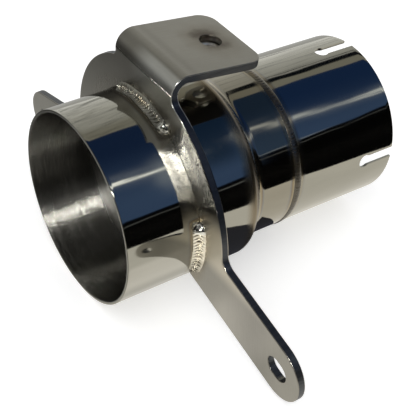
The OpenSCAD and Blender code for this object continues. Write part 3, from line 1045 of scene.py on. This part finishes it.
def stage_mesh(name, grid, material, hidden=True):
    """A stage surface from a grid of points. A hidden one shows only in the metal's reflections."""
    mesh = bpy.data.meshes.new(name)
    mesh.from_pydata(grid.reshape(-1, 3).tolist(), [], quads(grid.shape[0], grid.shape[1], 0).tolist())
    mesh.materials.append(material)
    made = bpy.data.objects.new(name, mesh)
    bpy.context.scene.collection.objects.link(made)
    if hidden:
        made.visible_camera = made.visible_diffuse = made.visible_shadow = made.visible_transmission = False


def emitter(name, look):
    """A surface that only gives light, of the colour that look(graph) says."""
    return surface(name, lambda g: g.node("ShaderNodeEmission", {}, look(g), 1.0))


def card(name, corners, tone, strength):
    """A flat card with an even light that only metal reflects, from two rows of corners."""
    light = surface(name, lambda g: g.node("ShaderNodeEmission", {}, (*tone, 1.0), strength))
    stage_mesh(name, np.array(corners, float), light)


def floor_card(side, near_y, far_y, height, look):
    """A level card with a painted light, along the whole part between two places across it."""
    grid = np.array([[(x, y, height) for x in (-FLOOR_CARD_HALF, FLOOR_CARD_HALF)] for y in (near_y, far_y)])
    stage_mesh(side + "_floor_card", grid, emitter(side + "_floor_light", look))


def dome_look(g):
    """Reflector round the X axis: a pale wall on the far side, a deep blue sky with a cloud, a dark horizon.

    Beta is the angle in degrees from the top, positive on the near side. The wall has dark streaks, and wavy
    threads before the outlet. The sky has a thin cloud with a glow round it. A stretch behind the bracket is
    covered, and a mist lies before that. Far before the inlet the sky has a bright opening, which only the
    bracket's face and its bends mirror.
    """
    s = setting("studio")
    _, x, y, z = g.place()
    beta = g.degrees(-y, z)
    streak = g.noise(g.vector(x * 5.0, beta * 0.45, 0.0), 1.0, 4.0, 0.6)
    wisp = g.noise(g.vector(x * 7.0, beta * 0.06, 3.0), 1.0, 4.0, 0.6)
    drift = g.noise(g.vector(x * 5.0, 0.0, 7.0), 1.0, 2.0)
    smudge = g.noise(g.vector(x * 14.0, beta * 0.34 + x * 45.0, 5.0), 1.0, 3.0, 0.55)
    ridge = g.noise(g.vector(x * 9.0, beta * 0.20 + x * 30.0, 11.0), 1.0, 2.0, 0.5)
    rear = g.step(x, 0.74, 0.76)
    fore = 1.0 - rear
    outlet = g.step(x, 0.86, 0.96)
    front = g.step(x, 0.35, -0.15)

    stripe = beta + 1.5 * (drift - 0.5)
    thread = g.band(ridge, 0.5, 0.022) * g.step(drift + 0.4 * (streak - 0.5), 0.42, 0.52)
    wall = g.layers(g.mix(g.step(beta, -36.0, -100.0), (0.52, 0.52, 0.48), (1.08, 1.08, 1.03)),
                    (0.6 * g.step(streak, 0.45, 0.62), (0.36, 0.365, 0.36)),
                    (0.7 * g.step(streak, 0.60, 0.66), (0.10, 0.10, 0.095)),
                    (g.band(stripe, -38.5, 1.3) * outlet, (0.02, 0.02, 0.02)),
                    (0.8 * g.step(beta, -40.0, -26.0) * fore, (0.26, 0.25, 0.20)),
                    (0.8 * g.step(smudge, 0.60, 0.67) * fore, (0.17, 0.17, 0.15)),
                    (0.75 * thread * fore, (0.10, 0.10, 0.085)),
                    (g.step(stripe, -36.0, -34.8) * rear, (0.004, 0.006, 0.009)),
                    (g.step(stripe, -28.6, -27.4) * rear, (0.30, 0.29, 0.24)),
                    (front * (0.35 + 0.55 * g.step(beta, -60.0, -82.0)), (0.04, 0.04, 0.04)))

    covered = g.steps((x, 0.615, 0.635), (x, 0.724, 0.718))
    clear = 1.0 - covered
    ahead = g.step(x, 0.62, 0.60)
    shift = beta + 14.0 * (wisp - 0.5) + 10.0 * (drift - 0.5)
    shift = shift + 8.0 * g.band(x, 0.765, 0.07) + 5.0 * g.band(x, 1.05, 0.12)
    glow = g.band(shift, 36.0, 15.0) * g.step(wisp, 0.3, 0.7) * clear
    cloud = g.band(shift - ahead * (1.5 + 9.0 * (wisp - 0.5)), 37.0, 5.5 - 2.7 * ahead)
    cloud = cloud * g.step(streak, 0.25, 0.6) * clear
    power = 1.0 - 0.56 * g.step(x, 0.63, 0.70) - 0.16 * g.step(x, 1.10, 1.16) + 0.4 * g.step(x, 1.18, 1.27)
    mist = g.steps((x, 0.556, 0.576), (x, 0.63, 0.60)) * g.band(beta, 44.0, 30.0)
    opening = g.steps((x, -0.42, -0.48), (x, -0.80, -0.74), (beta, 82.0, 66.0))
    edge = HORIZON - 12.0 * rear - 9.0 * g.step(x, 0.95, 1.45) + 2.0 * (drift - 0.5)
    dark = g.step(beta, edge - 0.7, edge + 0.7) * (1.0 - opening)
    line = g.band(beta, edge + 4.5, 0.9) * g.step(streak, 0.35, 0.5)
    rim = g.band(beta, edge - 0.8, 1.1) * rear * g.step(x, 1.16, 1.08)
    sky = g.layers(g.mix(g.step(beta, 0.0, 62.0), (0.012, 0.028, 0.080), (0.058, 0.105, 0.215)),
                   (0.35 * rear * (1.0 - outlet), (0.035, 0.060, 0.075)),
                   (0.5 * outlet * g.step(beta, 45.0, 5.0), (0.014, 0.040, 0.125)),
                   (0.75 * covered * g.step(beta, 68.0, 44.0), (0.010, 0.026, 0.055)),
                   (0.16 * glow, (0.8, 0.85, 0.9)),
                   (g.clamp(cloud * (1.2 + 0.6 * ahead)) * power, (1.5, 1.55, 1.5)),
                   (0.5 * ahead * g.step(cloud, 0.3, 0.8), (2.2, 2.25, 2.2)),
                   (0.55 * mist, (0.50, 0.56, 0.62)),
                   (front, (0.012, 0.012, 0.012)),
                   (opening, times(s.gate, s.sun_tone)),
                   (0.9 * rim, (0.36, 0.41, 0.47)),
                   (dark, (0.002, 0.002, 0.002)),
                   ((0.5 + 0.5 * covered) * line, (0.28, 0.29, 0.29)))
    return g.mix(g.step(beta - 2.0 * rear, -20.0, -18.6), wall, sky)


def near_floor_look(g):
    """Beige ground on the near side: brightest close beside the part, dark before the inlet, cloudy."""
    vector, x, y, _ = g.place()
    near = g.layers(g.mix(g.step(y, -0.058, -0.042), (1.06, 1.03, 0.96), (0.74, 0.72, 0.66)),
                    (g.step(y, -0.085, -0.10), (0.84, 0.82, 0.75)), (g.step(x, 0.0, -0.03), (0.20, 0.19, 0.17)))
    tone = g.mix(g.step(x, 0.05, 0.09), near, (0.86, 0.83, 0.75))
    return g.mix(0.35 * g.step(g.noise(vector, 14.0, 3.0), 0.4, 0.7), tone, (0.70, 0.68, 0.61))


def far_floor_look(g):
    """Grey ground on the far side, darker before the inlet."""
    _, x, y, _ = g.place()
    before = g.mix(g.step(y, 0.095, 0.135), (0.26, 0.26, 0.25), (0.06, 0.06, 0.057))
    return g.mix(g.step(x, 0.02, -0.05), (0.50, 0.50, 0.475), before)


def place_camera(scene, s):
    """Camera turned by its azimuth and elevation, then rolled round its line of sight."""
    camera = bpy.data.objects.new("camera", bpy.data.cameras.new("camera"))
    scene.collection.objects.link(camera)
    camera.data.sensor_width, camera.data.lens = 36.0, s.lens
    camera.data.clip_start, camera.data.clip_end = 0.01, 50.0
    flat = math.cos(s.elevation)
    back = Vector((math.sin(s.azimuth) * flat, -math.cos(s.azimuth) * flat, math.sin(s.elevation)))
    level = (-back).cross(Vector((0, 0, 1))).normalized()
    up = back.cross(level)
    right = level * math.cos(s.roll) + up * math.sin(s.roll)
    turned = Matrix((right, back.cross(right), back)).transposed()
    camera.matrix_world = Matrix.Translation(s.eye) @ turned.to_4x4()
    scene.camera = camera


def soft_light(scene, s):
    """Even light from all round, which shows as white where it is seen."""
    scene.world = bpy.data.worlds.new("studio")
    scene.world.use_nodes = True
    g = Graph(scene.world.node_tree)
    shown = seen(g)
    light = g.node("ShaderNodeBackground", {}, (1, 1, 1, 1), shown + (1.0 - shown) * s.sky)
    g.node("ShaderNodeOutputWorld", {}, light, out=None)


def pale_floor(s):
    """Matt white floor that adds a little light of its own where it is seen."""

    def build(g):
        matte = g.node("ShaderNodeBsdfDiffuse", {}, (0.9, 0.9, 0.9, 1.0))
        glow = g.node("ShaderNodeEmission", {}, (1, 1, 1, 1), seen(g) * s.floor_lift)
        return g.node("ShaderNodeAddShader", {}, matte, glow)

    span = np.linspace(-FLOOR_HALF, FLOOR_HALF, 3)
    floor = np.stack(np.meshgrid(span, span, [s.floor_z]), axis=-1)[:, :, 0]
    stage_mesh("floor", floor, surface("pale_floor", build), False)


def reflections(s):
    """What the steel mirrors: the dome, the ground on both sides, dark cards and a small bright one."""
    beta = np.radians(np.linspace(-100, 100, 161))[:, None]
    dome = round_x(np.linspace(-DOME_HALF, DOME_HALF, 49)[None, :], s.dome_r, -beta)
    stage_mesh("sky_reflector", dome, emitter("sky_light", dome_look))
    card("dark_card", [[(x, y, z) for x, y in DARK_FOOT] for z in (s.floor_z, DARK_TOP)], s.dark, 1.0)
    low = s.floor_z + MM
    floor_card("near", -FLOOR_SIDE, FLOOR_SPLIT, low, near_floor_look)
    floor_card("far", FLOOR_SPLIT, FLOOR_SIDE, low, far_floor_look)
    shade = [[(x * MM, y * MM, low + MM) for x, y in SHADE_EDGE]]
    shade += [[(SHADE_START * MM, y * MM, low + MM) for _, y in SHADE_EDGE]]
    card("bracket_shade_card", shade, (0.036, 0.037, 0.046), 1.0)
    aim = Vector(KEY_CARD_AIM).normalized()
    across = aim.cross(Vector((0, 0, 1))).normalized()
    rise = across.cross(aim)
    spots = [[KEY_CARD_AWAY * aim + s.sun_r * (u * across + v * rise) for u in (-1, 1)] for v in (-1, 1)]
    card("sun_card", spots, s.sun_tone, s.sun)


def soft_lamp(scene, s):
    """Round lamp above the near side, aimed at the part's middle and not mirrored by it."""
    lamp = bpy.data.objects.new("soft_lamp", bpy.data.lights.new("soft_lamp", "AREA"))
    lamp.data.shape, lamp.data.size, lamp.data.energy = "DISK", LAMP_WIDTH, s.lamp
    lamp.visible_glossy = False
    lamp.location = LAMP_PLACE
    lamp.rotation_mode = "QUATERNION"
    lamp.rotation_quaternion = (Vector(PART_MIDDLE) - lamp.location).to_track_quat("-Z", "Y")
    scene.collection.objects.link(lamp)


class ADAPTER_OT_stage(bpy.types.Operator):
    """Stage: camera, pale floor, soft light, and the cards that the polished steel reflects"""

    bl_idname = "adapter.stage"
    bl_label = "Studio"

    def execute(self, context):
        scene, s = context.scene, setting("studio")
        scene.view_settings.view_transform = "Standard"
        place_camera(scene, s)
        soft_light(scene, s)
        pale_floor(s)
        reflections(s)
        soft_lamp(scene, s)
        return {"FINISHED"}


OPERATORS = (ADAPTER_OT_inlet_tube, ADAPTER_OT_neck_tube, ADAPTER_OT_outlet_tube, ADAPTER_OT_bracket,
             ADAPTER_OT_weld_nut, ADAPTER_OT_ring_welds, ADAPTER_OT_stitch_welds, ADAPTER_OT_stage)


class ADAPTER_PT_panel(bpy.types.Panel):
    """Sizes, finishes and steps of the exhaust adapter"""

    bl_idname = "ADAPTER_PT_panel"
    bl_label = "Exhaust adapter"
    bl_space_type = "VIEW_3D"
    bl_region_type = "UI"
    bl_category = "Exhaust adapter"

    def draw(self, context):
        for group, kind in GROUPS.items():
            box = self.layout.box()
            box.label(text=group.capitalize())
            for name in kind.__annotations__:
                box.prop(setting(group), name)
        for step in OPERATORS:
            self.layout.operator(step.bl_idname)


def register():
    for kind in (*GROUPS.values(), *OPERATORS, ADAPTER_PT_panel):
        bpy.utils.register_class(kind)
    for group, kind in GROUPS.items():
        setattr(bpy.types.Scene, "adapter_" + group, PointerProperty(type=kind))


def unregister():
    for group in GROUPS:
        delattr(bpy.types.Scene, "adapter_" + group)
    for kind in (ADAPTER_PT_panel, *reversed(OPERATORS), *GROUPS.values()):
        bpy.utils.unregister_class(kind)


def main():
    register()
    for step in OPERATORS:
        family, action = step.bl_idname.split(".")
        getattr(getattr(bpy.ops, family), action)()


if __name__ == "__main__":
    main()
